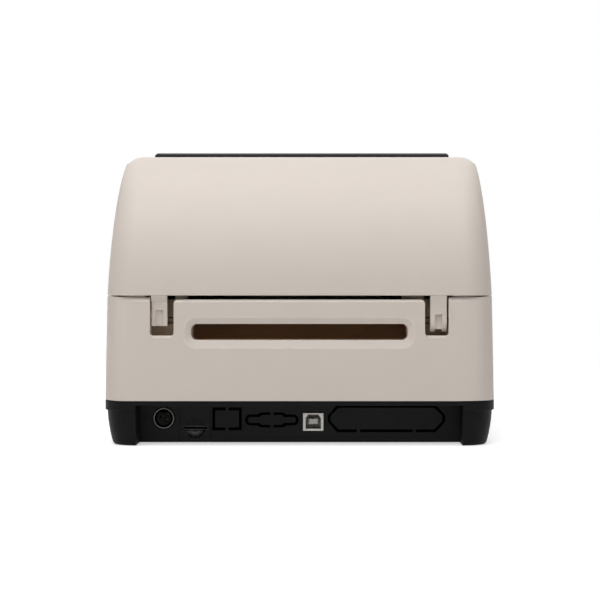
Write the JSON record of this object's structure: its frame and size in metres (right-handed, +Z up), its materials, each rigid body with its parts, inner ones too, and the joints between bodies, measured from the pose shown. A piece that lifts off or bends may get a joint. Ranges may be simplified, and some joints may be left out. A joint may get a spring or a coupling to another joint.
{
  "type": "thermal label printer",
  "caption": "Desktop thermal label printer with an arched hinged cover, rear fan-fold slot, recessed connector panel and a working label drive inside.",
  "frame": {"origin": "on the table, under the middle of the body's outline", "axes": "+Z up, +Y towards the rear with the hinge and connectors, +X towards the power socket's side"},
  "size_m": [0.226, 0.285, 0.1765],
  "materials": {
    "beige_plastic": "fine moulded texture",
    "ramp_plastic": "moulded",
    "black_plastic": "fine moulded texture",
    "smoked_pane": "polished",
    "dark_grey_plastic": "satin",
    "button_grey": "satin",
    "lens": "polished",
    "steel": "plated",
    "motor_can": "satin",
    "aluminium": "extruded",
    "rubber": "ground",
    "nylon": "moulded",
    "circuit_board": "solder mask",
    "chips": "moulded",
    "contact_metal": "plated",
    "tongue_plastic": "moulded",
    "ceramic": "glazed ridge"
  },
  "bodies": {
    "base": {"lower_case": "beige_plastic", "media_bay": "beige_plastic", "hinge_pins": "beige_plastic", "label_ramp": "ramp_plastic", "base_tray": "black_plastic", "exit_lip": "black_plastic", "power_socket_core": "black_plastic", "card_slot_insert": "black_plastic", "switch_bezel": "black_plastic", "front_fascia": "dark_grey_plastic", "status_lenses": "lens", "base_screws": "steel", "tear_bar": "steel", "board_screws": "steel", "power_socket_shell": "steel", "card_reader": "steel", "usb_shell": "steel", "print_chassis": "steel", "idler_post": "steel", "path_plate": "steel", "sensor_rail": "steel", "drive_motor": "motor_can", "rubber_feet": "rubber", "platen_bushings": "nylon", "main_board": "circuit_board", "panel_board": "circuit_board", "board_parts": "chips", "power_contacts": "contact_metal", "usb_contacts": "contact_metal", "usb_tongue": "tongue_plastic"},
    "platen": {"platen_roller": "rubber", "platen_shaft": "steel", "platen_gear": "nylon"},
    "idler": {"idler_gear": "nylon"},
    "motor_rotor": {"motor_pinion": "steel"},
    "guide_left": {"roll_guide_left": "dark_grey_plastic"},
    "guide_right": {"roll_guide_right": "dark_grey_plastic"},
    "guide_gear": {"guide_pinion": "nylon"},
    "hub_left": {"roll_hub_left": "black_plastic"},
    "hub_right": {"roll_hub_right": "black_plastic"},
    "sensor": {"gap_sensor": "black_plastic"},
    "button": {"feed_button": "button_grey"},
    "rocker": {"power_rocker": "black_plastic"},
    "release_left": {"release_button_left": "dark_grey_plastic"},
    "release_right": {"release_button_right": "dark_grey_plastic"},
    "cover": {"top_cover": "beige_plastic", "window_pane": "smoked_pane", "hinge_arm_left": "beige_plastic", "hinge_arm_right": "beige_plastic", "head_beam": "black_plastic", "beam_screws": "steel", "head_pin": "steel", "head_springs": "steel"},
    "print_head": {"head_bracket": "steel", "heat_sink": "aluminium", "thermal_head": "ceramic"}
  },
  "joints": [
    {"name": "cover_hinge", "type": "hinge", "parent": "base", "child": "cover", "pos_m": [0, 0.1345, 0.072], "axis": [-1, 0, 0], "range_deg": [0, 90]},
    {"name": "platen_spin", "type": "hinge", "parent": "base", "child": "platen", "pos_m": [0, -0.112, 0.083], "axis": [1, 0, 0], "continuous": true},
    {"name": "idler_spin", "type": "hinge", "parent": "base", "child": "idler", "pos_m": [0.07, -0.10603, 0.06224], "axis": [1, 0, 0], "continuous": true},
    {"name": "motor_spin", "type": "hinge", "parent": "base", "child": "motor_rotor", "pos_m": [0.07, -0.092, 0.059], "axis": [1, 0, 0], "continuous": true},
    {"name": "guide_left_slide", "type": "slide", "parent": "base", "child": "guide_left", "axis": [1, 0, 0], "range_m": [-0.042, 0]},
    {"name": "guide_right_slide", "type": "slide", "parent": "base", "child": "guide_right", "axis": [1, 0, 0], "range_m": [0, 0.042]},
    {"name": "guide_gear_turn", "type": "hinge", "parent": "base", "child": "guide_gear", "pos_m": [0, 0.03, 0.029], "axis": [0, 0, 1], "range_deg": [0, 301]},
    {"name": "hub_left_spin", "type": "hinge", "parent": "guide_left", "child": "hub_left", "pos_m": [0.055, 0.03, 0.096], "axis": [1, 0, 0], "continuous": true},
    {"name": "hub_right_spin", "type": "hinge", "parent": "guide_right", "child": "hub_right", "pos_m": [-0.055, 0.03, 0.096], "axis": [1, 0, 0], "continuous": true},
    {"name": "sensor_slide", "type": "slide", "parent": "base", "child": "sensor", "axis": [1, 0, 0], "range_m": [-0.03, 0.03]},
    {"name": "head_rock", "type": "hinge", "parent": "cover", "child": "print_head", "pos_m": [0, -0.092, 0.109], "axis": [-1, 0, 0], "range_deg": [0, 3], "stiffness_Nm_per_rad": 6, "springref_deg": -3.44, "deforming": ["head_springs"]},
    {"name": "feed_press", "type": "slide", "parent": "base", "child": "button", "axis": [0, 1, 0], "range_m": [0, 0.0012], "stiffness_N_per_m": 400, "springref_m": -0.002},
    {"name": "rocker_tip", "type": "hinge", "parent": "base", "child": "rocker", "pos_m": [0.1096, 0.095, 0.05], "axis": [0, 0, -1], "range_deg": [0, 16]},
    {"name": "release_left_press", "type": "slide", "parent": "base", "child": "release_left", "axis": [-1, 0, 0], "range_m": [0, 0.003], "stiffness_N_per_m": 500, "springref_m": -0.002},
    {"name": "release_right_press", "type": "slide", "parent": "base", "child": "release_right", "axis": [1, 0, 0], "range_m": [0, 0.003], "stiffness_N_per_m": 500, "springref_m": -0.002}
  ],
  "couplings": [
    {"joint": "idler_spin", "follows": "platen_spin", "ratio": -1.25},
    {"joint": "motor_spin", "follows": "platen_spin", "ratio": 2.5},
    {"joint": "guide_right_slide", "follows": "guide_left_slide", "ratio": -1},
    {"joint": "guide_gear_turn", "follows": "guide_left_slide", "rad_per_m": -125}
  ]
}
